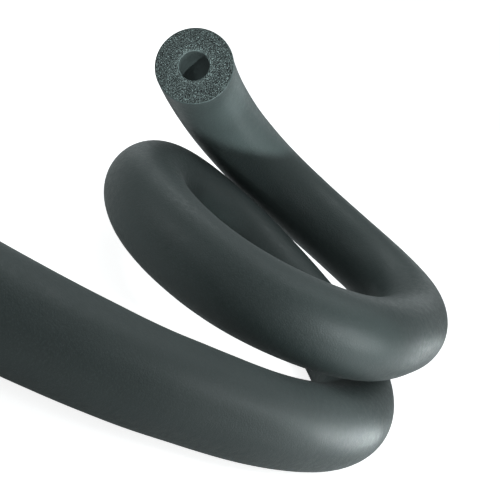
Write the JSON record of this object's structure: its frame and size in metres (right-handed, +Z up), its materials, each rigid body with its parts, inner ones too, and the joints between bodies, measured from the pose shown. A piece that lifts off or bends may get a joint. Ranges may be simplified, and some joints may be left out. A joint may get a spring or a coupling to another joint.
{
  "type": "pipe insulation tube",
  "caption": "Length of thick-walled foam rubber pipe insulation, unslit, lying as a loose flat coil with a free tail.",
  "frame": {"origin": "middle of the bounding box in plan, on the floor that the coil lies on", "axes": "+Z up; +X from the tail's cut end towards the coil; +Y away from the tail, across the coil"},
  "size_m": [0.6758, 0.6256, 0.1682],
  "materials": {
    "foam_rubber": "satin"
  },
  "bodies": {
    "root": {"foam_tube": "foam_rubber"}
  },
  "joints": []
}
